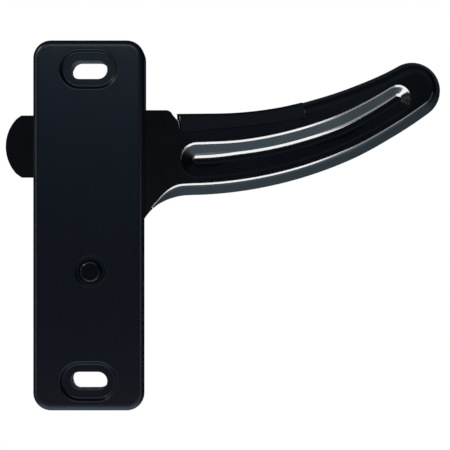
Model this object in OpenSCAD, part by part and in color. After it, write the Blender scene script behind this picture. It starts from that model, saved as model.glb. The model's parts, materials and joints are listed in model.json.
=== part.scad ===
// Spring-return lever latch for a light door.
// Pressing the curved handle down swings the nose into the cover; a torsion spring throws it out again.
// Frame: origin at the middle of the mounting face, midway between the two screw slots.
// +Z is up as fitted, +X points along the handle, the front of the latch faces -Y.

/* [Cover] */
// Width of the cover plate, left to right
cover_w = 36.3; // [35.8:0.1:38]
// Height of the cover plate, top to bottom
cover_h = 120.8; // [118:0.1:124]
// Depth of the cover, from its front face to the door
cover_d = 12; // [11.8:0.1:12.4]
// Thickness of the cover's sheet
cover_t = 1.5; // [1.4:0.1:1.6]
// Radius of the cover's corners, seen from the front
corner_r = 5.8; // [5:0.1:7]
// Radius of the rolled edge round the front face
roll_r = 2.2; // [2:0.1:2.4]

/* [Screw slots] */
// Distance between the centres of the two screw slots
slot_pitch = 101.6; // [99:0.1:103]
// Width of a screw slot
slot_w = 6.1; // [5.5:0.1:6.3]
// Length of a slot between the centres of its round ends
slot_run = 6; // [4:0.1:6.4]
// Depth of the pressed seat round each slot
seat_d = 1.4; // [1.2:0.1:1.6]

/* [Lever] */
// Thickness of the lever's sheet
lever_t = 1.9; // [1.7:0.1:2]
// Height of the nose, top to bottom
nose_h = 20.3; // [18:0.1:21]
// Radius of the nose's round end
nose_r = 13.3; // [12.5:0.1:14]
// Depth that the handle's flanges are turned back
flange_d = 6.7; // [5:0.1:7]
// Depth of the finger groove
groove_d = 2.8; // [2:0.1:3]

/* [Pivot] */
// Pivot centre, left to right
pivot_x = 0.5; // [0:0.1:1]
// Pivot centre, below the middle of the cover
pivot_drop = 15; // [14.5:0.1:15.5]
// Radius of the sleeve that the lever turns on
sleeve_r = 3.5; // [3.3:0.1:3.6]
// Radial running clearance between lever and sleeve
run_gap = 0.05; // [0.02:0.01:0.08]

/* [Spring] */
// Diameter of the spring wire
wire_d = 1.3; // [1.1:0.1:1.3]
// Mean radius of the spring's coil
coil_r = 5; // [4.8:0.1:5.2]

/* [Hidden] */
$fn = 64;
e = 0.01;

black = [0.09, 0.10, 0.12];
zinc = [0.72, 0.72, 0.70];

front = -cover_d;                     // front face of the cover
pivot = [pivot_x, -pivot_drop];       // X, Z
slot_z = slot_pitch / 2;
slot_r = slot_w / 2;
back_t = 1.5;
seat_r = 6.4;                         // rim of the pressed seat round a slot
seat_floor_r = 5.2;
dimple_r = 5;                         // shallow round dimple under the rivet head
dimple_d = 0.8;
inner_face = front + cover_t;

washer_t = 0.6;
lever_f = front + dimple_d + cover_t + washer_t;  // front face of the lever
lever_b = lever_f + lever_t;
bush_f = front + dimple_d + cover_t;

// Handle: arcs that its outline follows. C1 is the centre of the lower edge and of the groove,
// C2 of the upper edge, and T of the round tip. The radii are where the flat face ends.
C1 = [30.8, 146.4];
C2 = [41.15, 162.3];
T = [106.5, 44.7];
dist1 = norm(T - C1);
dist2 = norm(T - C2);
tip_r = 6.42;
flare = 2.95;                         // how far a flange stands out at its back edge
root_x = 29.5;                        // where the flat root meets the handle
slope = flare / flange_d;
wall_len = sqrt(flare * flare + flange_d * flange_d);
back_off = lever_t * (wall_len - flare) / flange_d;   // inset of the flange's inside at the sheet's back

// Finger groove, a trough of even width that follows the lower edge
groove_c = 125.6;
groove_a0 = -88.9;
groove_a1 = -56.3;
groove_w = 4.8;
groove_floor = 1.8;

// Opening heights in the side walls
nose_z = [14.6, 38.6];
stop_z = 37.85;

// ---- helpers -------------------------------------------------------------------------
// A shape drawn in X and Z, from depth y0 (front) to y1 (back)
module slab(y0, y1) translate([0, y1, 0]) rotate([90, 0, 0]) linear_extrude(y1 - y0) children();
// A cylinder or cone along Y, radius r0 at y0 and r1 at y1
module rod(c, y0, y1, r0, r1) translate([c[0], y1, c[1]]) rotate([90, 0, 0]) cylinder(h = y1 - y0, r1 = r1, r2 = r0);
// A profile drawn as radius and -Y, swept about the Y axis through c from angle a0 to a1
module sweep(c, a0, a1) translate([c[0], 0, c[1]]) rotate([90, 0, 0]) rotate([0, 0, a0]) rotate_extrude(angle = a1 - a0, $fn = 96) children();

module slot2d(r, z) for (s = [-1, 1]) translate([s * slot_run / 2, z]) circle(r);
module slot_prism(r, z, y0, y1) {
    slab(y0, y1) translate([-slot_run / 2, z - r]) square([slot_run, 2 * r]);
    slab(y0, y1) slot2d(r, z);
}
// A slot with sloping sides, r0 wide at y0 and r1 at y1
module slot_taper(z, y0, y1, r0, r1) {
    translate([-slot_run / 2, 0, z]) rotate([90, 0, 90]) linear_extrude(slot_run)
        polygon([[y0, -r0], [y0, r0], [y1, r1], [y1, -r1]]);
    for (s = [-1, 1]) rod([s * slot_run / 2, z], y0, y1, r0, r1);
}

// ---- cover ---------------------------------------------------------------------------
module rim2d(o) translate([o, 0]) {
    intersection() {
        difference() {
            translate([0, front + roll_r]) circle(roll_r);
            translate([0, front + roll_r]) circle(roll_r - cover_t);
        }
        translate([0, front]) square([roll_r, roll_r]);
    }
    translate([roll_r - cover_t, front + roll_r]) square([cover_t, -front - roll_r]);
}
module pan() {
    hx = cover_w / 2 - corner_r;
    hz = cover_h / 2 - corner_r;
    major = corner_r - roll_r;
    slab(front, inner_face) square([2 * (hx + major), 2 * hz], center = true);
    slab(front, inner_face) square([2 * hx, 2 * (hz + major)], center = true);
    for (s = [0, 1]) mirror([s, 0, 0]) translate([cover_w / 2 - roll_r, 0, -hz]) linear_extrude(2 * hz) rim2d(0);
    for (s = [0, 1]) mirror([0, 0, s]) translate([hx, 0, cover_h / 2 - roll_r]) rotate([0, -90, 0]) linear_extrude(2 * hx) rim2d(0);
    for (sx = [0, 1], sz = [0, 1]) mirror([sx, 0, 0]) mirror([0, 0, sz])
        sweep([hx, hz], 0, 90) mirror([0, 1]) union() {
            rim2d(major);
            translate([0, front]) square([major, cover_t]);
        }
}
module cover_plate() color(black) {
    difference() {
        union() {
            pan();
            for (z = [-slot_z, slot_z])
                slot_taper(z, inner_face - 0.3, inner_face + seat_d, seat_r + 0.6, seat_floor_r + 0.6);
            rod(pivot, inner_face - 0.2, bush_f, dimple_r + 1, dimple_r + 0.6);
        }
        for (z = [-slot_z, slot_z]) {
            slot_taper(z, front - 0.14, front + seat_d, seat_r + 0.12, seat_floor_r);
            slot_prism(slot_r, z, front - 1, inner_face + seat_d + 1);
        }
        rod(pivot, front - 0.5, front + dimple_d, dimple_r, dimple_r);
        rod(pivot, front, bush_f + 1, 2.53, 2.53);
        // opening for the nose, cut in from the wall's back edge
        translate([-cover_w / 2 - 1, front + roll_r, nose_z[0]]) cube([cover_t + 1.6, cover_d, nose_z[1] - nose_z[0]]);
        // window that the spring's anchor lug is lanced from
        translate([-cover_w / 2 - 1, front + roll_r + 1, -20]) cube([cover_t + 1.6, 5.3, 14]);
        // open side below the lever's root
        translate([cover_w / 2 - cover_t - 0.6, front + roll_r, -cover_h / 2 + corner_r]) cube([cover_t + 1.6, cover_d, stop_z + cover_h / 2 - corner_r]);
    }
    // anchor lug, bent inwards at the back edge of its window
    translate([-cover_w / 2 + cover_t - 0.3, front + roll_r + 6.3, -19.5]) cube([5.3, 1.2, 13]);
}

// ---- back ----------------------------------------------------------------------------
module back_plate() color(zinc) {
    w = cover_w - 2 * cover_t - 0.4;
    h = cover_h - 2 * cover_t - 0.4;
    r = corner_r - cover_t - 0.2;
    difference() {
        slab(-back_t, 0) union() {
            square([w, h - 2 * r], center = true);
            square([w - 2 * r, h], center = true);
            for (x = [-1, 1], z = [-1, 1]) translate([x * (w / 2 - r), z * (h / 2 - r)]) circle(r);
        }
        for (z = [-slot_z, slot_z]) slot_prism(slot_r, z, -back_t - 1, 1);
        rod(pivot, -back_t - 1, 1, 2.53, 2.53);
        // countersink for the rivet's tail
        rod(pivot, -back_t - 0.2, 0.3, 2.35, 4.35);
    }
    // lug that stops the arm when the handle is fully down
    translate([15, lever_f - 0.1, -16]) cube([w / 2 - 15, -lever_f - back_t + 0.3, 4.4]);
}
module screw_spacers() color(zinc)
    for (z = [-slot_z, slot_z]) difference() {
        slot_prism(slot_r + 1.2, z, inner_face + seat_d, -back_t);
        slot_prism(slot_r, z, inner_face + seat_d - 1, 0);
    }

// ---- pivot ---------------------------------------------------------------------------
module pivot_rivet() color(black) {
    f = front + dimple_d;
    translate([pivot[0], 0, pivot[1]]) rotate([90, 0, 0]) rotate_extrude()
        polygon([[0, 0], [3.97, 0], [2.5, 1.2 + 0.27], [2.5, -f], [3.9, -f], [3.9, -f + 0.6], [3.2, -f + 1.2], [0, -f + 1.2]]);
}
module pivot_bushing() color("goldenrod") difference() {
    rod(pivot, bush_f, -back_t, sleeve_r, sleeve_r);
    rod(pivot, bush_f - 1, 0, 2.55, 2.55);
}
module front_washer() color("ivory") difference() {
    rod(pivot, bush_f, lever_f, 8, 8);
    rod(pivot, bush_f - 1, lever_f + 1, sleeve_r + 0.05, sleeve_r + 0.05);
}
module rear_washer() color(zinc) difference() {
    rod(pivot, lever_b + 0.05, lever_b + 0.65, 7.5, 7.5);
    rod(pivot, lever_b - 1, lever_b + 2, sleeve_r + 0.05, sleeve_r + 0.05);
}

// ---- spring --------------------------------------------------------------------------
coil_y0 = lever_b + 0.8 + wire_d / 2;    // turn nearest the lever
coil_y1 = -back_t - 0.25 - wire_d / 2;   // turn nearest the back plate
turns = 2 + 250 / 360;
steps = 60;
a_move = 62;                             // direction in which the moving leg leaves the coil
// Points along the wire: anchor leg, coil, leg to the lever, hook through the lever
function coil_pt(u) = let (a = a_move + 90 + 360 * turns * u)
    [pivot[0] + coil_r * cos(a), coil_y0 + (coil_y1 - coil_y0) * u, pivot[1] + coil_r * sin(a)];
a_end = a_move + 90 + 360 * turns;
leg_dir = [cos(a_move), sin(a_move)];
coil_start = coil_pt(0);
coil_end = coil_pt(1);
hook = [coil_start[0] + 14 * leg_dir[0], coil_start[2] + 14 * leg_dir[1]];
anchor_dir = [-sin(a_end), cos(a_end)];
spring_path = concat(
    [[hook[0] + 0.5 * leg_dir[0], lever_f + 0.4, hook[1] + 0.5 * leg_dir[1]],
     [hook[0] + 0.5 * leg_dir[0], coil_y0 - 1.3, hook[1] + 0.5 * leg_dir[1]],
     [hook[0] + 0.1 * leg_dir[0], coil_y0 - 0.4, hook[1] + 0.1 * leg_dir[1]],
     [hook[0] - 1 * leg_dir[0], coil_y0, hook[1] - 1 * leg_dir[1]]],
    [for (i = [0:steps]) coil_pt(i / steps)],
    [[coil_end[0] + 4 * anchor_dir[0], coil_y1, coil_end[2] + 4 * anchor_dir[1]],
     [coil_end[0] + 11 * anchor_dir[0], coil_y1, coil_end[2] + 11 * anchor_dir[1]]]);
function unit(v) = v / norm(v);
function tangent(p, i) = unit(p[min(i + 1, len(p) - 1)] - p[max(i - 1, 0)]);
// Ring of points round the path; the first side is kept square to the coil's own radius
function ring(p, i, n, r) = let (t = tangent(p, i),
    c = [pivot[0], p[i][1], pivot[1]] - p[i],
    a = unit(c - (c * t) * t), b = cross(t, a))
    [for (k = [0:n - 1]) p[i] + r * (cos(360 * k / n) * a + sin(360 * k / n) * b)];
module wire(p, r, n) {
    m = len(p);
    pts = [for (i = [0:m - 1]) each ring(p, i, n, r)];
    polyhedron(pts, concat(
        [[for (k = [0:n - 1]) k]],
        [for (i = [0:m - 2], k = [0:n - 1]) [i * n + k, (i + 1) * n + k, (i + 1) * n + (k + 1) % n, i * n + (k + 1) % n]],
        [[for (k = [n - 1:-1:0]) (m - 1) * n + k]]), convexity = 8);
}
module return_spring() color("silver") wire(spring_path, wire_d / 2, 8);

// ---- lever ---------------------------------------------------------------------------
// The handle's outer or inner form between two depths; g0 and g1 grow its outline at each
module handle_form(y0, y1, g0, g1) {
    u1 = unit(T - C1);
    u2 = unit(C2 - T);
    intersection() {
        slab(y0, y1) polygon([T, T + 22 * u1, [T[0] + 22 * u1[0], -20], [root_x, -20], [root_x, 75], T + 22 * u2]);
        rod(C1, y0, y1, dist1 + tip_r + g0, dist1 + tip_r + g1, $fn = 256);
        difference() {
            slab(y0, y1) translate([0, -30]) square([140, 110]);
            rod(C2, y0 - 1, y1 + 1, dist2 - tip_r - g0 + (g1 - g0) / (y1 - y0), dist2 - tip_r - g1 - (g1 - g0) / (y1 - y0), $fn = 256);
        }
    }
    // round tip, a hair narrower so that it starts inside the rest
    rod(T, y0, y1, tip_r + g0 - 0.06, tip_r + g1 - 0.06);
}
// Trough that follows the handle, wa wide each way at y0 and wb at y1
module trough(y0, y1, wa, wb) {
    sweep(C1, groove_a0, groove_a1) polygon([[groove_c - wa, -y0], [groove_c + wa, -y0], [groove_c + wb, -y1], [groove_c - wb, -y1]]);
    // round ends, a hair narrower and shallower so that they start inside the trough
    for (a = [groove_a0, groove_a1])
        rod(C1 + groove_c * [cos(a), sin(a)], y0 + 0.05, y1 - 0.03, wa - 0.08, wb - 0.06);
}
module blank2d() {
    // nose with its round end
    intersection() {
        translate([-14, 25.8]) circle(nose_r);
        translate([-40, 25.8 - nose_h / 2]) square([40, nose_h]);
    }
    translate([-16, 25.8 - nose_h / 2]) square([24, nose_h]);
    // arm down to the pivot, and the root that carries the handle
    difference() {
        polygon([[-14.5, 35.9], [-14.5, 2], [-10.3, -13], [11.3, -13], [16.3, -1], [16.3, 6], [root_x + 4, 11.5],
                 [root_x + 4, 30], [29.2, 30], [26.2, 36.4], [24.9, 37.7], [18, 37.7], [13, 35.9]]);
        translate([32.7, -7.3]) circle(17.5);
    }
    translate(pivot) circle(11);
}
module latch_lever() color(black) difference() {
    k = groove_d / (groove_w - groove_floor);       // fall of the trough's sides
    s = sqrt(1 + k * k) * lever_t / k;              // sideways thickness of its walls
    union() {
        slab(lever_f, lever_b) blank2d();
        difference() {
            handle_form(lever_f, lever_f + flange_d, 0, flare);
            handle_form(lever_b, lever_f + flange_d + 0.5, slope * lever_t - back_off, slope * (flange_d + 0.5) - back_off);
        }
        trough(lever_f + 0.9, lever_f + groove_d + lever_t, groove_w + s - 0.9 / k, groove_floor + s - lever_t / k);
    }
    trough(lever_f - 0.3, lever_f + groove_d, groove_w + 0.3 / k, groove_floor);
    rod(pivot, lever_f - 1, lever_b + 1, sleeve_r + run_gap, sleeve_r + run_gap);
    // slit that parts the thumb tab from the rolled edge
    translate([69.4, lever_f - 1, 34]) cube([0.9, 9, 12]);
    // hole for the spring's hook
    rod([hook[0] + 0.5 * leg_dir[0], hook[1] + 0.5 * leg_dir[1]], lever_f - 1, lever_b + 1, 1.1, 1.1);
}

cover_plate();
back_plate();
screw_spacers();
pivot_rivet();
pivot_bushing();
front_washer();
rear_washer();
return_spring();
latch_lever();
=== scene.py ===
import json
from math import atan2, cos, degrees, hypot, pi, radians, sin, sqrt, tan

import bmesh
import bpy
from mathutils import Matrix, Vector
from mathutils.geometry import delaunay_2d_cdt

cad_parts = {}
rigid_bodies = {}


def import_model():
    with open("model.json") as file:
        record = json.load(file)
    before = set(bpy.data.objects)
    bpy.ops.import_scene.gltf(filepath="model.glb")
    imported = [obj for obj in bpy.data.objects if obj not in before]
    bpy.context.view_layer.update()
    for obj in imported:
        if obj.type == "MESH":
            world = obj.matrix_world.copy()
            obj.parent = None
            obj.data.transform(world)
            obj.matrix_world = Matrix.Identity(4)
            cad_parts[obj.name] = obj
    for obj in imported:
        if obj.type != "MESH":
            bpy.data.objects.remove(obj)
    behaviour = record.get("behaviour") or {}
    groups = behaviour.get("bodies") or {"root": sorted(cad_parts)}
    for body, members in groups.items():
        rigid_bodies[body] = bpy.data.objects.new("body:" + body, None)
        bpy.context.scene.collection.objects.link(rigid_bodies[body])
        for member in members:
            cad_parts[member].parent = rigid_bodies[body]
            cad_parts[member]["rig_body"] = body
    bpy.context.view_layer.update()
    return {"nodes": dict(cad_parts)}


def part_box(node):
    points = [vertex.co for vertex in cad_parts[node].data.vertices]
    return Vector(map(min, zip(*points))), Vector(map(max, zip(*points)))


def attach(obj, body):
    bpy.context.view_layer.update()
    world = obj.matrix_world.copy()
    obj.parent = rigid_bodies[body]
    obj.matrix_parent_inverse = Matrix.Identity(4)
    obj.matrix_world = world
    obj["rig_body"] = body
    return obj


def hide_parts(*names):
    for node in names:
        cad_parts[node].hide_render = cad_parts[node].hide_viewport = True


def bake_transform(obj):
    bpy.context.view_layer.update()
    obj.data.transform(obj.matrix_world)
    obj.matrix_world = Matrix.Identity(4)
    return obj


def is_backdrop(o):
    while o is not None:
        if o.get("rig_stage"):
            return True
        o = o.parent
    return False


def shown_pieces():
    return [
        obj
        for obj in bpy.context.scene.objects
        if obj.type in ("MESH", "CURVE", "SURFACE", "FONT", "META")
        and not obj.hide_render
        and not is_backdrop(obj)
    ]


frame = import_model()

# Lengths below are in millimetres, X right, Y towards the door, Z up, as in the CAD source.
MM = 0.001


def cad_box(node):
    lo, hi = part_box(node)
    return [c / MM for c in lo], [c / MM for c in hi]


cover_lo, cover_hi = cad_box("cover_plate")
plate_lo, plate_hi = cad_box("back_plate")
lever_lo, lever_hi = cad_box("latch_lever")
rivet_lo, rivet_hi = cad_box("pivot_rivet")
bush_lo, bush_hi = cad_box("pivot_bushing")
fwash_lo, fwash_hi = cad_box("front_washer")
rwash_lo, rwash_hi = cad_box("rear_washer")
spacer_lo, spacer_hi = cad_box("screw_spacers")

PIVOT = ((rivet_lo[0] + rivet_hi[0]) / 2, (rivet_lo[2] + rivet_hi[2]) / 2)
FRONT = cover_lo[1]                      # cover's front face
LEVER_F = lever_lo[1]                    # lever's front face
SLOT_Z = 50.8
SLOT_RUN = 6.0
SLOT_R = 3.05
COVER_T = 1.5
LEVER_T = 1.9


# ---------------------------------------------------------------- outlines
def arc(c, r, a0, a1, n, ends=True):
    k = range(n + 1) if ends else range(1, n)
    return [(c[0] + r * cos(radians(a0 + (a1 - a0) * i / n)), c[1] + r * sin(radians(a0 + (a1 - a0) * i / n))) for i in k]


def circle(c, r, n=64):
    return [(c[0] + r * cos(2 * pi * i / n), c[1] + r * sin(2 * pi * i / n)) for i in range(n)]


def rrect(c, hw, hh, r, n=10):
    r = max(r, 0.02)
    out = []
    for sx, sz, a in ((1, 1, 0), (-1, 1, 90), (-1, -1, 180), (1, -1, 270)):
        out += arc((c[0] + sx * (hw - r), c[1] + sz * (hh - r)), r, a, a + 90, n)
    return out


def stadium(c, run, r, n=20):
    return arc((c[0] + run / 2, c[1]), r, -90, 90, n) + arc((c[0] - run / 2, c[1]), r, 90, 270, n)


def inside(p, loop):
    hit = False
    for i in range(len(loop)):
        (x0, z0), (x1, z1) = loop[i - 1], loop[i]
        if (z0 > p[1]) != (z1 > p[1]) and p[0] < (x1 - x0) * (p[1] - z0) / (z1 - z0) + x0:
            hit = not hit
    return hit


def bend(width, depth, r1, r2=0.0, n1=8, n2=8, straight=3):
    """Section of a pressed wall: starts flat, rounds over with radius r1, runs straight and, with r2, rounds out flat again.
    Points are (sideways, back) from (0, 0) to (width, depth)."""
    r = r1 + r2
    lo, hi = radians(2), radians(88)
    for _ in range(50):
        a = (lo + hi) / 2
        if r * (1 - cos(a)) + (width - r * sin(a)) * tan(a) < depth:
            lo = a
        else:
            hi = a
    a = (lo + hi) / 2
    pts = [(r1 * sin(a * i / n1), r1 * (1 - cos(a * i / n1))) for i in range(n1 + 1)]
    p0, p1 = pts[-1], (width - r2 * sin(a), depth - r2 * (1 - cos(a)))
    pts += [(p0[0] + (p1[0] - p0[0]) * i / straight, p0[1] + (p1[1] - p0[1]) * i / straight) for i in range(1, straight + 1)]
    if r2:
        pts += [(width - r2 * sin(a * (1 - i / n2)), depth - r2 * (1 - cos(a * (1 - i / n2)))) for i in range(1, n2 + 1)]
    return pts


def smooth(t):
    t = max(0.0, min(1.0, t))
    return t * t * (3 - 2 * t)


def lerp(a, b, t):
    return a + (b - a) * t


def table_at(rows, x):
    """Straight-line reading of a small table of (x, value)."""
    if x <= rows[0][0]:
        return rows[0][1]
    for (x0, v0), (x1, v1) in zip(rows, rows[1:]):
        if x <= x1:
            return lerp(v0, v1, (x - x0) / (x1 - x0))
    return rows[-1][1]


# ---------------------------------------------------------------- mesh building
class Build:
    def __init__(self):
        self.v, self.f = [], []

    def ring(self, pts, y):
        """A row of points at depth y, or at a depth of its own for each point."""
        start = len(self.v)
        ys = y if isinstance(y, list) else [y] * len(pts)
        self.v += [(p[0], d, p[1]) for p, d in zip(pts, ys)]
        return list(range(start, len(self.v)))

    def band(self, a, b, closed=True):
        n = len(a)
        for i in range(n if closed else n - 1):
            j = (i + 1) % n
            self.f.append((a[i], a[j], b[j], b[i]))

    def bands(self, rings, closed=True):
        for a, b in zip(rings, rings[1:]):
            self.band(a, b, closed)

    def fill(self, outer, holes, y):
        """Flat face at depth y between an outer loop and holes, as loops of (x, z)."""
        loops = [outer] + holes
        pts, edges = [], []
        for loop in loops:
            s = len(pts)
            pts += [Vector(p) for p in loop]
            edges += [(s + i, s + (i + 1) % len(loop)) for i in range(len(loop))]
        out = delaunay_2d_cdt(pts, edges, [], 1, 1e-7)
        s = len(self.v)
        self.v += [(p[0], y, p[1]) for p in out[0]]
        for f in out[2]:
            mid = (sum(out[0][i][0] for i in f) / len(f), sum(out[0][i][1] for i in f) / len(f))
            if inside(mid, outer) and not any(inside(mid, h) for h in holes):
                self.f.append(tuple(s + i for i in f))

    def add(self, other):
        s = len(self.v)
        self.v += other.v
        self.f += [tuple(s + i for i in f) for f in other.f]

    def object(self, name, front=False):
        me = bpy.data.meshes.new(name)
        me.from_pydata([(x * MM, y * MM, z * MM) for x, y, z in self.v], [], self.f)
        bm = bmesh.new()
        bm.from_mesh(me)
        bmesh.ops.remove_doubles(bm, verts=bm.verts, dist=3e-6)
        bmesh.ops.dissolve_degenerate(bm, edges=bm.edges, dist=1e-6)
        bmesh.ops.recalc_face_normals(bm, faces=bm.faces)
        if front and sum(f.normal.y * f.calc_area() for f in bm.faces) > 0:
            bmesh.ops.reverse_faces(bm, faces=bm.faces)
        bm.to_mesh(me)
        bm.free()
        o = bpy.data.objects.new(name, me)
        bpy.context.scene.collection.objects.link(o)
        return o


def bake(o):
    dg = bpy.context.evaluated_depsgraph_get()
    dg.update()
    me = bpy.data.meshes.new_from_object(o.evaluated_get(dg), depsgraph=dg)
    o.modifiers.clear()
    o.data = me
    me.name = o.name
    return o


def bevel(o, width, angle=42, segments=2):
    m = o.modifiers.new("edges", "BEVEL")
    m.width, m.segments, m.limit_method, m.angle_limit = width * MM, segments, "ANGLE", radians(angle)
    m.miter_outer = "MITER_ARC"
    m.use_clamp_overlap = True
    return bake(o)


def thicken(o, t):
    m = o.modifiers.new("sheet", "SOLIDIFY")
    m.thickness, m.offset = t * MM, -1.0
    m.use_even_offset, m.use_quality_normals, m.use_rim = True, True, True
    return bake(o)


def cut(o, lo, hi):
    b = Build()
    x0, y0, z0 = lo
    x1, y1, z1 = hi
    b.v = [(x, y, z) for x in (x0, x1) for y in (y0, y1) for z in (z0, z1)]
    b.f = [(0, 1, 3, 2), (4, 6, 7, 5), (0, 4, 5, 1), (2, 3, 7, 6), (0, 2, 6, 4), (1, 5, 7, 3)]
    tool = b.object("cutter")
    m = o.modifiers.new("cut", "BOOLEAN")
    m.operation, m.solver, m.object = "DIFFERENCE", "EXACT", tool
    bake(o)
    bpy.data.objects.remove(tool)
    return o


def shade(o, sharp=38):
    """Smooth shading, split at real edges, with flat areas kept flat."""
    bm = bmesh.new()
    bm.from_mesh(o.data)
    for f in bm.faces:
        f.smooth = True
    for e in bm.edges:
        e.smooth = not (len(e.link_faces) == 2 and e.calc_face_angle(0) > radians(sharp))
    bm.to_mesh(o.data)
    bm.free()
    m = o.modifiers.new("normals", "WEIGHTED_NORMAL")
    m.mode, m.weight, m.keep_sharp = "FACE_AREA", 50, True
    return bake(o)


def piece(o, node, body, material):
    o.data.materials.clear()
    o.data.materials.append(material)
    for p in o.data.polygons:
        p.material_index = 0
    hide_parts(node)
    if body:
        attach(o, body)
    return o


# ---------------------------------------------------------------- materials
class Nodes:
    def __init__(self, name):
        self.m = bpy.data.materials.new(name)
        self.m.use_nodes = True
        self.t = self.m.node_tree
        self.t.nodes.clear()
        self.out = self.t.nodes.new("ShaderNodeOutputMaterial")
        self.b = self.t.nodes.new("ShaderNodeBsdfPrincipled")
        self.t.links.new(self.b.outputs[0], self.out.inputs[0])
        self.co = self.t.nodes.new("ShaderNodeTexCoord").outputs["Object"]

    def link(self, a, b):
        self.t.links.new(a, b)

    def noise(self, scale, detail=3.0, rough=0.5, stretch=None):
        n = self.t.nodes.new("ShaderNodeTexNoise")
        n.inputs["Scale"].default_value = scale
        n.inputs["Detail"].default_value = detail
        n.inputs["Roughness"].default_value = rough
        src = self.co
        if stretch:
            m = self.t.nodes.new("ShaderNodeMapping")
            m.inputs["Scale"].default_value = stretch
            self.link(src, m.inputs["Vector"])
            src = m.outputs["Vector"]
        self.link(src, n.inputs["Vector"])
        return n.outputs[0]

    def ramp(self, fac, stops):
        r = self.t.nodes.new("ShaderNodeValToRGB")
        while len(r.color_ramp.elements) > 1:
            r.color_ramp.elements.remove(r.color_ramp.elements[-1])
        for i, (p, c) in enumerate(stops):
            e = r.color_ramp.elements[0] if i == 0 else r.color_ramp.elements.new(p)
            e.position = p
            e.color = (c[0], c[1], c[2], 1) if isinstance(c, tuple) else (c, c, c, 1)
        self.link(fac, r.inputs[0])
        return r.outputs[0]

    def bump(self, height, strength, distance, after=None):
        n = self.t.nodes.new("ShaderNodeBump")
        n.inputs["Strength"].default_value = strength
        n.inputs["Distance"].default_value = distance
        self.link(height, n.inputs["Height"])
        if after is not None:
            self.link(after, n.inputs["Normal"])
        return n.outputs[0]


def paint(name, dark, light, rough_lo, rough_hi, peel, specular):
    """Black paint: slow colour drift, slightly uneven gloss, fine orange peel, faint dust specks."""
    n = Nodes(name)
    drift = n.ramp(n.noise(55, 4, 0.55), [(0.3, dark), (0.7, light)])
    specks = n.ramp(n.noise(5200, 1, 0.4), [(0.74, 0.0), (0.80, 1.0)])
    mix = n.t.nodes.new("ShaderNodeMix")
    mix.data_type = "RGBA"
    n.link(specks, mix.inputs["Factor"])
    n.link(drift, mix.inputs[6])
    mix.inputs[7].default_value = (light[0] * 1.9, light[1] * 1.9, light[2] * 1.9, 1)
    n.link(mix.outputs[2], n.b.inputs["Base Color"])
    n.link(n.ramp(n.noise(180, 5, 0.6), [(0.3, rough_lo), (0.7, rough_hi)]), n.b.inputs["Roughness"])
    fine = n.bump(n.noise(2600, 2, 0.5), peel, 0.00002)
    n.link(n.bump(n.noise(420, 2, 0.5), peel * 0.6, 0.00006, fine), n.b.inputs["Normal"])
    n.b.inputs["Specular IOR Level"].default_value = specular
    n.b.inputs["IOR"].default_value = 1.5
    return n.m


def metal(name, dark, light, rough_lo, rough_hi, stretch=None, metallic=1.0, bump=0.12, scale=300):
    n = Nodes(name)
    n.link(n.ramp(n.noise(scale, 5, 0.6, stretch), [(0.25, dark), (0.75, light)]), n.b.inputs["Base Color"])
    n.link(n.ramp(n.noise(scale * 0.6, 4, 0.65, stretch), [(0.25, rough_lo), (0.75, rough_hi)]), n.b.inputs["Roughness"])
    n.link(n.bump(n.noise(scale * 4, 3, 0.6, stretch), bump, 0.00003), n.b.inputs["Normal"])
    n.b.inputs["Metallic"].default_value = metallic
    return n.m


COVER_PAINT = paint("cover_black", (0.0019, 0.0035, 0.0078), (0.0023, 0.0040, 0.0088), 0.30, 0.32, 0.10, 0.5)
LEVER_PAINT = paint("lever_black", (0.0001, 0.0002, 0.0003), (0.0002, 0.0003, 0.0004), 0.13, 0.145, 0.03, 0.5)
RIVET_PAINT = paint("rivet_black", (0.0010, 0.0016, 0.0028), (0.0014, 0.0021, 0.0034), 0.20, 0.23, 0.05, 0.5)
ZINC = metal("zinc", (0.36, 0.36, 0.35), (0.55, 0.55, 0.54), 0.30, 0.48)
SPRING = metal("spring_wire", (0.42, 0.42, 0.43), (0.60, 0.60, 0.60), 0.22, 0.36, (1, 1, 6))
BRASS = metal("brass", (0.55, 0.38, 0.13), (0.72, 0.52, 0.22), 0.25, 0.40)
NYLON = metal("nylon", (0.56, 0.54, 0.47), (0.66, 0.64, 0.58), 0.42, 0.55, None, 0.0, 0.08, 500)

# ---------------------------------------------------------------- cover plate
cw, ch = (cover_hi[0] - cover_lo[0]) / 2, (cover_hi[2] - cover_lo[2]) / 2
CORNER, ROLL = 5.8, 2.2
SEAT_D = 1.4
roll_y = FRONT + ROLL

b = Build()
rings = [b.ring(rrect((0, 0), cw, ch, CORNER), y) for y in (cover_hi[1], -6.5, roll_y)]
for i in range(1, 11):
    a = radians(9 * i)
    o_ = ROLL * (1 - cos(a))
    rings.append(b.ring(rrect((0, 0), cw - o_, ch - o_, CORNER - o_), roll_y - ROLL * sin(a)))
b.bands(rings)
seat = bend(1.55, SEAT_D, 0.6, 0.6, 7, 7, 2)
dimple = bend(0.75, 0.8, 0.28, 0.28, 4, 4, 2)
holes = []
for z in (-SLOT_Z, SLOT_Z):
    rim_r = 6.75
    rs = [b.ring(stadium((0, z), SLOT_RUN, rim_r - h), FRONT + d) for h, d in seat]
    rs.append(b.ring(stadium((0, z), SLOT_RUN, SLOT_R), FRONT + SEAT_D))
    b.bands(rs)
    holes.append(stadium((0, z), SLOT_RUN, rim_r))
rs = [b.ring(circle(PIVOT, 5.2 - h, 72), FRONT + d) for h, d in dimple]
rs.append(b.ring(circle(PIVOT, 2.53, 72), FRONT + 0.8))
b.bands(rs)
holes.append(circle(PIVOT, 5.2, 72))
b.fill(rrect((0, 0), cw - ROLL, ch - ROLL, CORNER - ROLL), holes, FRONT)
cover = thicken(b.object("cover_shell", front=True), COVER_T)
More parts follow.
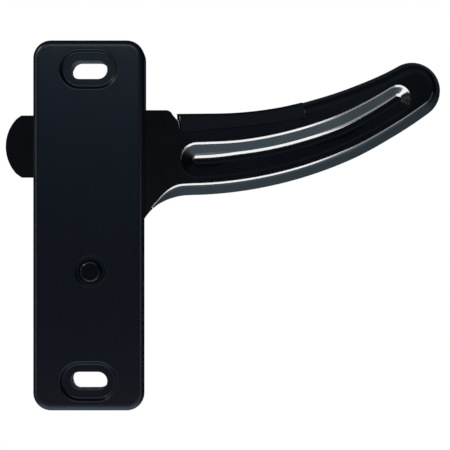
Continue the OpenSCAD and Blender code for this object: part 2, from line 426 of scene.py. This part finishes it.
# nose opening, spring anchor window and open side under the lever
cut(cover, (-cw - 1, roll_y, 14.6), (-cw + COVER_T + 0.6, 3, 38.6))
cut(cover, (-cw - 1, roll_y + 1, -20), (-cw + COVER_T + 0.6, roll_y + 6.3, -6))
cut(cover, (cw - COVER_T - 0.6, roll_y, -ch + 1.5), (cw + 1, 3, 37.85))
bevel(cover, 0.16, 50)
# anchor lug, turned in from the back edge of its window
lug = Build()
x0 = -cw + COVER_T - 0.35
prof = [(x0, roll_y + 6.3), (x0 + 0.5, roll_y + 6.3), (x0 + 5.3, roll_y + 6.3), (x0 + 5.3, roll_y + 7.5), (x0 + 0.2, roll_y + 7.5), (x0, roll_y + 7.5)]
for z0, z1 in ((-19.5, -6.5),):
    lug.v = [(x, y, z) for z in (z0, z1) for x, y in prof]
    n = len(prof)
    lug.f = [tuple(range(n)), tuple(range(2 * n - 1, n - 1, -1))] + [(i, (i + 1) % n, n + (i + 1) % n, n + i) for i in range(n)]
lug_o = bevel(lug.object("lug"), 0.25, 40, 3)


def join(main, *others):
    for o in others:
        bm = bmesh.new()
        bm.from_mesh(main.data)
        bm.from_mesh(o.data)
        bm.to_mesh(main.data)
        bm.free()
        bpy.data.objects.remove(o)
    return main


join(cover, lug_o)
shade(cover)
piece(cover, "cover_plate", "housing", COVER_PAINT)


# ---------------------------------------------------------------- flat parts with worked edges
def lathe(profile, c=PIVOT, n=72):
    """Turned part: profile is (radius, y) from front to back, closed at the axis where radius is 0."""
    bb = Build()
    rows = []
    for r, y in profile:
        rows.append(None if r == 0 else bb.ring(circle(c, r, n), y))
        if r == 0:
            bb.v.append((c[0], y, c[1]))
            rows[-1] = [len(bb.v) - 1] * n
    for p, q in zip(rows, rows[1:]):
        for i in range(n):
            j = (i + 1) % n
            f = tuple(dict.fromkeys((p[i], p[j], q[j], q[i])))
            if len(f) > 2:
                bb.f.append(f)
    return bb


def rounded(points, r, n=4):
    """Rounds the corners of an open or closed list of (radius, y) by r."""
    out = []
    m = len(points)
    for i, p in enumerate(points):
        a, c = points[i - 1], points[(i + 1) % m]
        if p[0] == 0:
            out.append(p)
            continue
        da, dc = hypot(a[0] - p[0], a[1] - p[1]), hypot(c[0] - p[0], c[1] - p[1])
        k = min(r, da * 0.45, dc * 0.45)
        s = (p[0] + (a[0] - p[0]) * k / da, p[1] + (a[1] - p[1]) * k / da)
        e = (p[0] + (c[0] - p[0]) * k / dc, p[1] + (c[1] - p[1]) * k / dc)
        for j in range(n + 1):
            t = j / n
            out.append(((1 - t) ** 2 * s[0] + 2 * t * (1 - t) * p[0] + t * t * e[0], (1 - t) ** 2 * s[1] + 2 * t * (1 - t) * p[1] + t * t * e[1]))
    return out


def washer(name, r_out, r_in, y0, y1, edge=0.12):
    prof = rounded([(r_in, y0), (r_out, y0), (r_out, y1), (r_in, y1)], edge)
    return lathe(prof + [prof[0]]).object(name)


b = Build()
pw, ph = (plate_hi[0] - plate_lo[0]) / 2, (plate_hi[2] - plate_lo[2]) / 2
y0, y1, e = -1.5, plate_hi[1], 0.18
steps = [(e, y0), (e * 0.3, y0 + e * 0.3), (0, y0 + e), (0, y1 - e), (e * 0.3, y1 - e * 0.3), (e, y1)]
b.bands([b.ring(rrect((0, 0), pw - o_, ph - o_, 4.1 - o_), y) for o_, y in steps])
front_holes, back_holes = [], []
for z in (-SLOT_Z, SLOT_Z):
    b.bands([b.ring(stadium((0, z), SLOT_RUN, SLOT_R + o_), y) for o_, y in steps])
    front_holes.append(stadium((0, z), SLOT_RUN, SLOT_R + e))
    back_holes.append(stadium((0, z), SLOT_RUN, SLOT_R + e))
sink = [(2.53, y0), (2.53, y0 + 0.35), (3.98, y1 - 0.05), (4.05, y1)]
b.bands([b.ring(circle(PIVOT, r, 72), y) for r, y in sink])
front_holes.append(circle(PIVOT, 2.53, 72))
back_holes.append(circle(PIVOT, 4.05, 72))
b.fill(rrect((0, 0), pw - e, ph - e, 4.1 - e), front_holes, y0)
b.fill(rrect((0, 0), pw - e, ph - e, 4.1 - e), back_holes, y1)
backing = b.object("backing_plate")
stop = Build()
lx0, lx1, ly0, ly1, lz0, lz1 = 15.0, pw, plate_lo[1], y0 + 0.4, -16.0, -11.6
stop.v = [(x, y, z) for x in (lx0, lx1) for y in (ly0, ly1) for z in (lz0, lz1)]
stop.f = [(0, 1, 3, 2), (4, 6, 7, 5), (0, 4, 5, 1), (2, 3, 7, 6), (0, 2, 6, 4), (1, 5, 7, 3)]
join(backing, bevel(stop.object("stop"), 0.3, 40, 3))
shade(backing)
piece(backing, "back_plate", "housing", ZINC)

b = Build()
e = 0.15
y0, y1 = spacer_lo[1], spacer_hi[1]
for z in (-SLOT_Z, SLOT_Z):
    prof = rounded([(SLOT_R, y0), (SLOT_R + 1.2, y0), (SLOT_R + 1.2, y1), (SLOT_R, y1)], e)
    rs = [b.ring(stadium((0, z), SLOT_RUN, r), y) for r, y in prof]
    b.bands(rs + [rs[0]])
spacers = shade(b.object("slot_spacers"))
piece(spacers, "screw_spacers", "housing", ZINC)

head_y = rivet_lo[1]
base_y = FRONT + 0.8
rivet = lathe(
    [(0, head_y + 0.06), (1.0, head_y + 0.04), (2.0, head_y + 0.01)]
    + [(2.75 + h, head_y + d) for h, d in bend(1.1, 0.92, 0.5, 0.0, 6, 6, 3)]
    + [(3.9, head_y + 1.0), (3.9, base_y - 0.06), (3.84, base_y), (2.5, base_y), (2.5, -1.47), (3.88, -0.09), (3.97, -0.04), (3.9, -0.005), (0, rivet_hi[1])]
).object("rivet")
piece(shade(rivet), "pivot_rivet", "housing", RIVET_PAINT)

bushing = shade(washer("sleeve", 3.5, 2.55, bush_lo[1], bush_hi[1], 0.15))
piece(bushing, "pivot_bushing", "housing", BRASS)
w1 = shade(washer("nylon_washer", 8.0, 3.55, fwash_lo[1], fwash_hi[1]))
piece(w1, "front_washer", frame["nodes"]["front_washer"]["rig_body"], NYLON)
w2 = shade(washer("steel_washer", 7.5, 3.55, rwash_lo[1], rwash_hi[1]))
piece(w2, "rear_washer", frame["nodes"]["rear_washer"]["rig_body"], ZINC)

# ---------------------------------------------------------------- lever: one stamping
C1, C2, T, CR = (30.8, 146.4), (41.15, 162.3), (106.5, 44.7), (32.7, -7.3)
R1, R2, RT, RR = 136.08, 125.24, 9.30, 17.5      # outer edge of the turned-back rim about each centre
RIM_D = lever_hi[1] - LEVER_F if lever_hi[1] - LEVER_F < 6.75 else 6.7
a_tip0 = degrees(atan2(T[1] - C1[1], T[0] - C1[0]))
a_tip1 = degrees(atan2(C2[1] - T[1], C2[0] - T[0]))
SLIT = (69.83, 69.91)
TAB_END = 30.1


TOP_TRIM = [(30, -0.25), (36, -0.2), (49, -0.12), (62, 0.0), (75, 0.28), (88, 0.25), (98, 0.0)]
LOW_TRIM = [(30, 0.2), (36, 0.3), (88, 0.3), (99, 0.0)]
CROWN = [(30, 0.0), (35, 0.2), (88, 0.2), (98, 0.0)]


def trim(s_, rows):
    k_t = table_at(rows, s_["o"][0])
    s_["o"] = (s_["o"][0] + s_["n"][0] * k_t, s_["o"][1] + s_["n"][1] * k_t)
    return s_


def station(c, r, a, sign, width, depth, rb, kind="roll"):
    """One place on the rim: outer edge point, outward direction, section."""
    ca, sa = cos(radians(a)), sin(radians(a))
    return {"o": (c[0] + r * ca, c[1] + r * sa), "n": (sign * ca, sign * sa), "w": width, "d": depth, "rb": rb, "kind": kind}


lower = []
for i in range(23):                               # curl of the rim round the inside of the root
    t = i / 22
    a = 132.3 + (92.2 - 132.3) * t
    k = smooth(t * 1.15)
    lower.append(station(CR, RR, a, -1, lerp(0.8, 3.95, k), lerp(1.3, RIM_D, smooth(t * 1.4)), lerp(0.5, 1.75, k)))
    trim(lower[-1], [(20, 0.0), (30, 0.2)])
for i in range(1, 46):
    a = -89.35 + (a_tip0 + 89.35) * i / 45
    lower.append(trim(station(C1, R1, a, 1, 3.95, RIM_D, 1.75), LOW_TRIM))
for i in range(1, 41):
    t = i / 40
    a = a_tip0 + (a_tip1 - a_tip0) * t
    lower.append(station(T, RT, a, 1, lerp(3.95, 4.3, smooth(t)), RIM_D, lerp(1.75, 3.3, smooth(t))))
a_slit = [degrees(atan2(-sqrt(R2 * R2 - (x - C2[0]) ** 2), x - C2[0])) for x in SLIT]
a_top = a_tip1 - 180
for i in range(1, 25):
    a = a_top + (a_slit[1] - a_top) * i / 24
    s_ = trim(station(C2, R2, a, -1, 4.3, RIM_D, 3.3), TOP_TRIM)
    s_["base"] = table_at(CROWN, s_["o"][0])
    lower.append(s_)

TAB_W = [(30.4, 6.7), (33, 6.5), (42.8, 5.5), (55.9, 5.1), (69.4, 5.6)]
tab = []
for i in range(25):
    a = a_slit[0] + (-90 - a_slit[0]) * i / 24
    s_ = station(C2, R2, a, -1, 0, RIM_D, 0, "tab")
    s_["w"] = table_at(TAB_W, s_["o"][0])
    s_["base"] = table_at(CROWN, s_["o"][0])
    tab.append(trim(s_, TOP_TRIM))
for i in range(1, 13):
    x = C2[0] + (TAB_END - C2[0]) * i / 12
    tab.append(trim({"o": (x, C2[1] - R2), "n": (0, 1), "w": table_at(TAB_W, x), "d": RIM_D, "rb": 0, "kind": "tab", "base": table_at(CROWN, x)}, TOP_TRIM))


def section(s_):
    if s_["kind"] == "tab":
        # thumb tab: a shallow slope from the crease, then turned back round its outer edge
        w, d = s_["w"], s_["d"]
        slope_w = w - 1.15
        fall = slope_w * tan(radians(21))
        pts = [(0, 0), (0.08, 0.02), (0.30, 0.42), (0.50, 0.52)]
        pts += [(0.50 + (slope_w - 0.50) * i / 4, 0.52 + (fall + 0.1 - 0.52) * i / 4) for i in range(1, 5)]
        h0, d0 = pts[-1]
        a0, a1, r = radians(21), radians(84), 1.25
        for i in range(1, 6):
            a = a0 + (a1 - a0) * i / 5
            pts.append((h0 + r * (sin(a) - sin(a0)), d0 + r * (cos(a0) - cos(a))))
        h1, d1 = pts[-1]
        k = (w - h0) / (h1 - h0 + 0.02) if h1 > h0 else 1
        pts = pts[:8] + [(h0 + (h - h0) * min(k, 1.4), dd) for h, dd in pts[8:]]
        h1, d1 = pts[-1]
        pts += [(lerp(h1, w, 0.5), lerp(d1, d, 0.5)), (w, d)]
        return pts
    return bend(s_["w"], s_["d"], s_["rb"], 0.0, 9, 0, 5)


def strip(bb, stations):
    rows = []
    for s_ in stations:
        base = (s_["o"][0] - s_["n"][0] * s_["w"], s_["o"][1] - s_["n"][1] * s_["w"])
        pts = section(s_)
        b0 = s_.get("base", 0.0)
        rows.append(bb.ring([(base[0] + s_["n"][0] * h, base[1] + s_["n"][1] * h) for h, _ in pts], [LEVER_F + b0 + d * (RIM_D - b0) / RIM_D for _, d in pts]))
    bb.bands(rows, closed=False)
    return rows


def foot(s_):
    return (s_["o"][0] - s_["n"][0] * s_["w"], s_["o"][1] - s_["n"][1] * s_["w"])


b = Build()
strip(b, lower)
tab_rows = strip(b, tab)
# the tab's left end is rounded over and turned back
last = tab[-1]
pts = section(last)
base = foot(last)
prev = tab_rows[-1]
for i in range(1, 7):
    a = radians(80 * i / 6)
    row = []
    for h, d in pts:
        amp = 0.10 + 1.55 * (h / last["w"])
        row.append((base[0] + last["n"][0] * h - amp * sin(a), base[1] + last["n"][1] * h, LEVER_F + last["base"] + d * (RIM_D - last["base"]) / RIM_D + amp * (1 - cos(a)) * 1.1))
    cur = b.ring([(p[0], p[1]) for p in row], [min(p[2], LEVER_F + RIM_D) for p in row])
    b.band(prev, cur, closed=False)
    prev = cur

# flat outline, anticlockwise, starting with the feet of the rim
flat = [foot(s_) for s_ in lower]
zb = 34.35
flat += [(SLIT[1], zb + 0.1), (lerp(*SLIT, 0.5), zb)]
flat += [foot(s_) for s_ in tab]
flat += [(30.02, 30.2), (29.97, 30.15), (29.92, 30.2), (29.88, 30.6), (29.02, 34.3), (28.35, 35.0), (27.45, 36.0)]
flat += arc((25.2, 35.5), 2.2, 20, 90, 8)
flat += [(18.5, 37.7)] + arc((17.6, 40.2), 2.6, 285, 255, 4)[1:-1] + [(14.5, 36.6), (13.0, 35.95)]
flat += [(0, 35.95), (-14, 35.95)]
a_n = degrees(atan2(35.95 - 25.8, -sqrt(13.3 ** 2 - 10.15 ** 2)))
nose = arc((-14, 25.8), 13.3, a_n, 360 - a_n, 26)
flat += arc((-14 - 7.9, 35.95 - 0.9), 0.9, 90, a_n, 4) + nose[2:-2] + arc((-14 - 7.9, 15.65 + 0.9), 0.9, 360 - a_n, 270, 4)
flat += [(-16.0, 15.65)] + arc((-16.0, 14.15), 1.5, 90, 0, 5)[1:]
flat += [(-14.5, 2), (-14.3, 0.9)]
a_b = degrees(atan2(2, -10.8))
flat += arc(PIVOT, 11, a_b, 360 + degrees(atan2(2, 10.8)), 34)
a_r0 = 180 - degrees(atan2(6.1, 16.4))
flat += [(15.9, -2.0)] + arc(CR, RR, a_r0, 133.6, 12)
flat += [arc(CR, RR + r_, a_, a_, 1)[0] for r_, a_ in ((0.15, 133.0), (0.62, 132.75), (0.82, 132.55))]

# finger groove: nested rings, its upper wall broader than its lower one
GA = (-87.95, -56.2)


def groove_ring(j):
    """Ring j of the groove, with a depth for each point."""
    up_w = lambda t: table_at([(0.0, 5.9), (0.07, 5.85), (0.2, 5.3), (0.72, 5.25), (0.86, 5.0), (1.0, 4.6)], t)
    up_r = lambda t: table_at([(0.0, 118.9), (0.07, 119.0), (0.22, 119.55), (0.37, 119.92), (0.52, 120.3), (0.7, 120.9), (0.84, 121.0), (1.0, 121.3)], t)
    lo_r = lambda t: 131.2
    lo_w = lambda t: lo_r(t) - up_r(t) - up_w(t) - 0.8
    deep = lambda t: table_at([(0.0, 3.3), (0.07, 3.3), (0.2, 2.8), (0.72, 2.55), (1.0, 2.2)], t)
    m = 44
    pts, ys = [], []

    def at(t, top):
        w = bend(up_w(t), deep(t), 2.1, 2.6, 8, 8, 3) if top else bend(lo_w(t), deep(t), 1.6, 1.6, 8, 8, 3)
        h, d = w[j]
        return (up_r(t) + h if top else lo_r(t) - h), d

    def pos(r, a):
        return (C1[0] + r * cos(radians(a)), C1[1] + r * sin(radians(a)))

    for i in range(m + 1):
        t = i / m
        r, d = at(t, True)
        pts.append(pos(r, lerp(GA[0], GA[1], t)))
        ys.append(LEVER_F + d)
    cap = 18
    for end in (1, 0):
        r0, d0 = at(end, True)
        r1, d1 = at(end, False)
        mid, half = (r0 + r1) / 2, (r1 - r0) / 2
        a = radians(GA[end])
        c = (C1[0] + mid * cos(a), C1[1] + mid * sin(a))
        tx, tz = -sin(a), cos(a)
        sgn = 1 if end else -1
        seq = range(1, cap) if end else range(1, cap)
        for i in seq:
            g = pi * i / cap
            if end:
                rad, tan_ = -cos(g) * half, sin(g) * half
                d = lerp(d0, d1, i / cap)
            else:
                rad, tan_ = cos(g) * half, sin(g) * half
                d = lerp(d1, d0, i / cap)
            pts.append((c[0] + rad * cos(a) + sgn * tan_ * tx, c[1] + rad * sin(a) + sgn * tan_ * tz))
            ys.append(LEVER_F + d)
        if end:
            for i in range(m + 1):
                t = 1 - i / m
                r, d = at(t, False)
                pts.append(pos(r, lerp(GA[0], GA[1], t)))
                ys.append(LEVER_F + d)
    return pts, ys


n_groove = len(bend(5.3, 2.6, 2.1, 2.6, 8, 8, 3))
g_rings = [groove_ring(j) for j in range(n_groove)]
gi = [b.ring(p, y) for p, y in g_rings]
b.bands(gi)
floor_ring = gi[-1]
n = len(floor_ring)
m, cap = 44, 18
# floor: rungs from the upper side to the lower one, then the two round ends
up = floor_ring[: m + 1]
right = floor_ring[m + 1: m + cap]
low = floor_ring[m + cap: m + cap + m + 1][::-1]
left = floor_ring[m + cap + m + 1:]
for i in range(m):
    b.f.append((up[i], up[i + 1], low[i + 1], low[i]))


def fan(bb, loop):
    while len(loop) > 3:
        bb.f.append((loop[0], loop[1], loop[-2], loop[-1]))
        loop = loop[1:-1]
    if len(loop) == 3:
        bb.f.append(tuple(loop))


fan(b, [up[-1]] + right + [low[-1]])
fan(b, [low[0]] + left + [up[0]])

hook_lo, hook_hi = cad_box("return_spring")
a_move = radians(62)
coil_r, wire_r = 5.0, 0.65
start_pt = (PIVOT[0] + coil_r * cos(a_move + pi / 2), PIVOT[1] + coil_r * sin(a_move + pi / 2))
hook = (start_pt[0] + 14.5 * cos(a_move), start_pt[1] + 14.5 * sin(a_move))
n_before = len(b.v)
b.fill(flat, [g_rings[0][0], circle(PIVOT, 3.55, 64), circle(hook, 1.1, 28)], LEVER_F)
crown = {(round(foot(s_)[0], 3), round(foot(s_)[1], 3)): s_["base"] for s_ in lower + tab if s_.get("base")}
for i in range(n_before, len(b.v)):
    k_ = crown.get((round(b.v[i][0], 3), round(b.v[i][2], 3)))
    if k_:
        b.v[i] = (b.v[i][0], LEVER_F + k_, b.v[i][2])
lever = thicken(b.object("lever_stamping", front=True), LEVER_T)
bevel(lever, 0.22, 48)
shade(lever, 40)
piece(lever, "latch_lever", "lever", LEVER_PAINT)

# ---------------------------------------------------------------- torsion spring
coil_y0 = rwash_hi[1] + 0.15 + wire_r
coil_y1 = -1.5 - 0.25 - wire_r
turns = 2 + 250 / 360
path = [(hook[0], LEVER_F + 0.42, hook[1]), (hook[0], LEVER_F + 1.2, hook[1]), (hook[0], coil_y0 - 1.4, hook[1])]
for i in range(1, 6):
    a = radians(90 * i / 5)
    r = 1.3
    path.append((hook[0] - r * (1 - cos(a)) * cos(a_move), coil_y0 - 1.4 + 1.4 * sin(a), hook[1] - r * (1 - cos(a)) * sin(a_move)))
for i in range(1, 10):
    k = i / 10
    path.append((lerp(path[7][0], start_pt[0], k), coil_y0, lerp(path[7][2], start_pt[1], k)))
for i in range(221):
    u = i / 220
    a = a_move + pi / 2 + 2 * pi * turns * u
    path.append((PIVOT[0] + coil_r * cos(a), lerp(coil_y0, coil_y1, u), PIVOT[1] + coil_r * sin(a)))
a_end = a_move + pi / 2 + 2 * pi * turns
dx, dz = -sin(a_end), cos(a_end)
endp = path[-1]
for i in range(1, 13):
    k = 11 * i / 12
    path.append((endp[0] + k * dx, coil_y1, endp[2] + k * dz))
b = Build()
rows = []
sides = 16
pv = [Vector(p) for p in path]
side = None
for i, p in enumerate(pv):
    t = (pv[min(i + 1, len(pv) - 1)] - pv[max(i - 1, 0)]).normalized()
    if side is None:
        side = Vector((cos(a_move), 0, sin(a_move)))
    side = (side - side.dot(t) * t).normalized()
    up_ = t.cross(side)
    start = len(b.v)
    scale = 0.8 if i in (0, len(pv) - 1) else 1.0
    for k in range(sides):
        g = 2 * pi * k / sides
        q = p + wire_r * scale * (cos(g) * side + sin(g) * up_)
        b.v.append((q.x, q.y, q.z))
    rows.append(list(range(start, start + sides)))
b.bands(rows)
b.f.append(tuple(rows[0][::-1]))
b.f.append(tuple(rows[-1]))
spring = shade(b.object("torsion_spring"), 50)
piece(spring, "return_spring", None, SPRING)
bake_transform(spring)

# ---------------------------------------------------------------- studio
floor = Build()
floor.v = [(r * cos(2 * pi * i / 64), r * sin(2 * pi * i / 64), -250) for r in (0.001, 900) for i in range(64)]
floor = Build()
rr = [floor.ring(circle((0, 0), r, 64), 0) for r in (300, 900)]
floor.v = [(x, z, -250) for x, _, z in floor.v]
floor.f = [tuple(rr[0])]
floor.band(rr[0], rr[1])
floor_o = floor.object("floor")
fm = Nodes("floor_pale")
fm.link(fm.ramp(fm.noise(6, 2, 0.4), [(0.3, (0.80, 0.80, 0.80)), (0.7, (0.84, 0.84, 0.84))]), fm.b.inputs["Base Color"])
fm.b.inputs["Roughness"].default_value = 0.9
fm.b.inputs["Specular IOR Level"].default_value = 0.1
fm.b.inputs["Emission Color"].default_value = (0.92, 0.93, 0.95, 1)
fm.b.inputs["Emission Strength"].default_value = 0.75
floor_o.data.materials.append(fm.m)
floor_o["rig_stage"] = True


def softbox(name, at, aim, w, h, power, color=(1, 1, 1), shape="RECTANGLE", spread=180):
    d = bpy.data.lights.new(name, "AREA")
    d.shape, d.size, d.size_y, d.energy, d.color = shape, w * MM, h * MM, power, color
    d.spread = radians(spread)
    o = bpy.data.objects.new(name, d)
    bpy.context.scene.collection.objects.link(o)
    o.location = [c * MM for c in at]
    o.rotation_mode = "QUATERNION"
    o.rotation_quaternion = (Vector(aim) - Vector(at)).to_track_quat("-Z", "Y")
    o.visible_camera = False
    return o


key = softbox("key_below", (-15, -340, -240), (15, -9, 20), 480, 300, 10.2)
key_side = softbox("key_below_side", (285, -340, -240), (15, -9, 20), 120, 300, 0.74)
key_cover = softbox("key_below_cover", (0, -340, -240), (30, -9, 15), 480, 300, 0.13)
rim = softbox("side_left_high", (-260, -190, 250), (0, -10, -10), 90, 90, 0.25)
spot = softbox("near_spot", (-45, -98, 23), (0, -10, -15), 15, 15, 0.012, shape="DISK")
left_end = softbox("left_of_lever", (-420, -250, 40), (30, -9, 30), 260, 260, 0.13)
softbox("strip_left", (-430, -175, 0), (0, -10, 0), 60, 500, 0.25)
softbox("side_right", (420, -300, -150), (0, -10, -20), 160, 400, 0.20)
back = softbox("back_fill", (240, 780, 300), (0, 0, 0), 450, 450, 2.2)
above = softbox("above_cover", (10, -480, 300), (0, -12, 30), 320, 260, 0.42, (0.84, 0.97, 1.22))
riveted = bpy.data.collections.new("lit_as_rivet")
riveted.objects.link(rivet)
levered = bpy.data.collections.new("lit_as_handle")
levered.objects.link(lever)
spot.light_linking.receiver_collection = riveted
left_end.light_linking.receiver_collection = levered
covered = bpy.data.collections.new("lit_as_cover")
uncovered = bpy.data.collections.new("lit_as_lever")
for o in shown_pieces():
    (covered if o in (cover, rivet, spacers) else uncovered).objects.link(o)
key.light_linking.receiver_collection = uncovered
key_side.light_linking.receiver_collection = uncovered
backed = bpy.data.collections.new("lit_as_back")
backed.objects.link(backing)
back.light_linking.receiver_collection = backed
above.light_linking.receiver_collection = covered
key_cover.light_linking.receiver_collection = covered
floor_o.visible_glossy = floor_o.visible_diffuse = floor_o.visible_shadow = False

world = bpy.data.worlds.new("studio")
bpy.context.scene.world = world
world.use_nodes = True
t = world.node_tree
t.nodes.clear()
out = t.nodes.new("ShaderNodeOutputWorld")
mixs = t.nodes.new("ShaderNodeMixShader")
dark = t.nodes.new("ShaderNodeBackground")
white = t.nodes.new("ShaderNodeBackground")
white.inputs[0].default_value = (1, 1, 1, 1)
white.inputs[1].default_value = 1.0
tc = t.nodes.new("ShaderNodeTexCoord")
sep = t.nodes.new("ShaderNodeSeparateXYZ")
ramp = t.nodes.new("ShaderNodeValToRGB")
t.links.new(tc.outputs["Generated"], sep.inputs[0])
neg = t.nodes.new("ShaderNodeMath")
neg.operation = "MULTIPLY"
neg.inputs[1].default_value = -1.0
t.links.new(sep.outputs["Y"], neg.inputs[0])
turn = t.nodes.new("ShaderNodeMath")
turn.operation = "ARCTAN2"
t.links.new(sep.outputs["Z"], turn.inputs[0])
t.links.new(neg.outputs[0], turn.inputs[1])
mr = t.nodes.new("ShaderNodeMapRange")
mr.inputs[1].default_value, mr.inputs[2].default_value = -pi, pi
t.links.new(turn.outputs[0], mr.inputs[0])
t.links.new(mr.outputs[0], ramp.inputs[0])
# brightness of the room by angle in the plane of Y and Z: 0 in front of the object, 90 above it, -90 below it
ROOM = [(-180, 0.03), (-158, 0.12), (-140, 0.24), (-115, 0.6), (-90, 1.3), (-72, 1.35), (-58, 1.1), (-46, 0.30), (-24, 0.05), (0, 0.032), (7, 0.07), (16, 0.15),
        (40, 0.18), (62, 0.10), (90, 0.06), (130, 0.04), (180, 0.03)]
el = ramp.color_ramp.elements
while len(el) > 1:
    el.remove(el[-1])
for i, (ang, v) in enumerate(ROOM):
    q = el[0] if i == 0 else el.new((ang + 180) / 360)
    q.position = (ang + 180) / 360
    k_ = smooth((-20 - ang) / 50)                  # bluer in front and above than below
    q.color = (v * lerp(0.80, 0.74, k_), v, v * lerp(1.40, 1.18, k_), 1)
side = t.nodes.new("ShaderNodeMath")
side.operation = "ABSOLUTE"
t.links.new(sep.outputs["X"], side.inputs[0])
fade = t.nodes.new("ShaderNodeMapRange")
fade.interpolation_type = "SMOOTHSTEP"
fade.inputs[1].default_value, fade.inputs[2].default_value = 0.50, 0.85
fade.inputs[3].default_value, fade.inputs[4].default_value = 1.0, 0.15
t.links.new(side.outputs[0], fade.inputs[0])
t.links.new(ramp.outputs[0], dark.inputs[0])
t.links.new(fade.outputs[0], dark.inputs[1])
lp = t.nodes.new("ShaderNodeLightPath")
t.links.new(lp.outputs["Is Camera Ray"], mixs.inputs[0])
t.links.new(dark.outputs[0], mixs.inputs[1])
t.links.new(white.outputs[0], mixs.inputs[2])
t.links.new(mixs.outputs[0], out.inputs[0])

scene = bpy.context.scene
scene.view_settings.view_transform = "Standard"
scene.view_settings.look = "None"
scene.cycles.max_bounces = 8

cam = bpy.data.cameras.new("camera")
cam.lens, cam.sensor_width = 110.77, 36.0
cam.clip_start, cam.clip_end = 0.01, 20
cam_o = bpy.data.objects.new("camera", cam)
scene.collection.objects.link(cam_o)
cam_o.location = (44.44 * MM, -462 * MM, 0.13 * MM)
cam_o.rotation_euler = (radians(90), 0, 0)
scene.camera = cam_o
